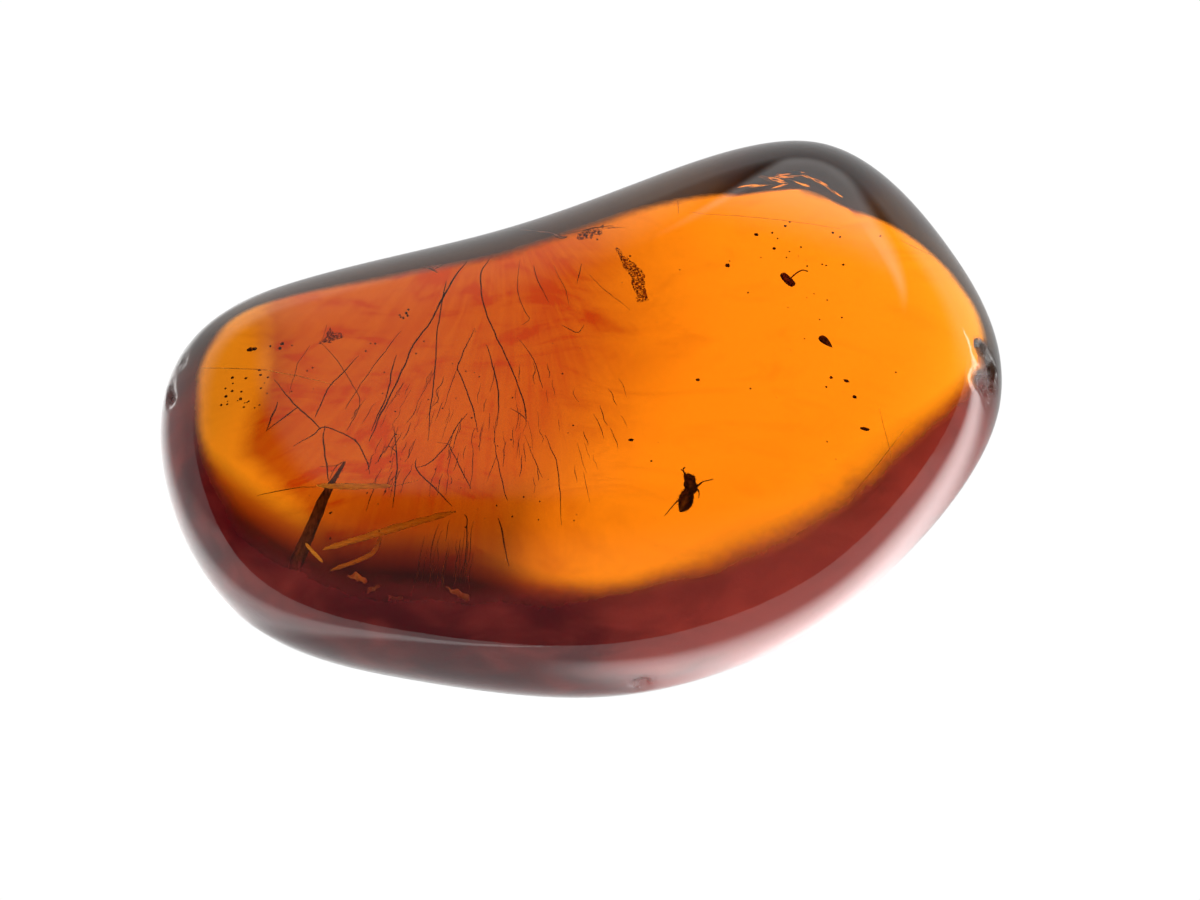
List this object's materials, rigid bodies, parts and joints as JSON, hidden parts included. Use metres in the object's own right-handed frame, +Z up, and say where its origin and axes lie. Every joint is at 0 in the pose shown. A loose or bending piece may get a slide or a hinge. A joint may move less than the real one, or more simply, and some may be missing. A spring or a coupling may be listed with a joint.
{
  "type": "insect in amber",
  "caption": "Polished kidney-shaped amber pebble, see-through orange, with a small insect, plant splinters, a twig, bark flakes and grains sealed inside; lies on its flat underside.",
  "frame": {"origin": "middle of the footprint's extents, on the flat face that it rests on", "axes": "+X along the pebble's length, +Y towards its bayed back edge, +Z up out of the polished top"},
  "size_m": [0.0528, 0.0416, 0.013],
  "materials": {
    "amber": "polished clear orange resin",
    "insect_shell": "dark brown chitin, satin",
    "larva_skin": "dark red-brown, satin",
    "husk_shell": "dark brown, matte",
    "dark_wood": "dark, matte",
    "pale_wood": "pale fibrous",
    "bark": "dark, rough",
    "grain": "matte"
  },
  "bodies": {
    "root": {"amber_lower": "amber", "amber_upper": "amber", "insect": "insect_shell", "larva": "larva_skin", "husk": "husk_shell", "twig": "dark_wood", "splinter_long": "pale_wood", "splinter_upper": "pale_wood", "splinter_bent": "pale_wood", "splinter_short": "pale_wood", "bark_flake_large": "bark", "bark_flake_small": "bark", "bark_flake_left": "bark", "grain_1": "grain", "grain_2": "grain", "grain_3": "grain", "grain_4": "grain", "grain_5": "grain", "grain_6": "grain", "grain_7": "grain", "grain_8": "grain", "grain_9": "grain"}
  },
  "joints": []
}
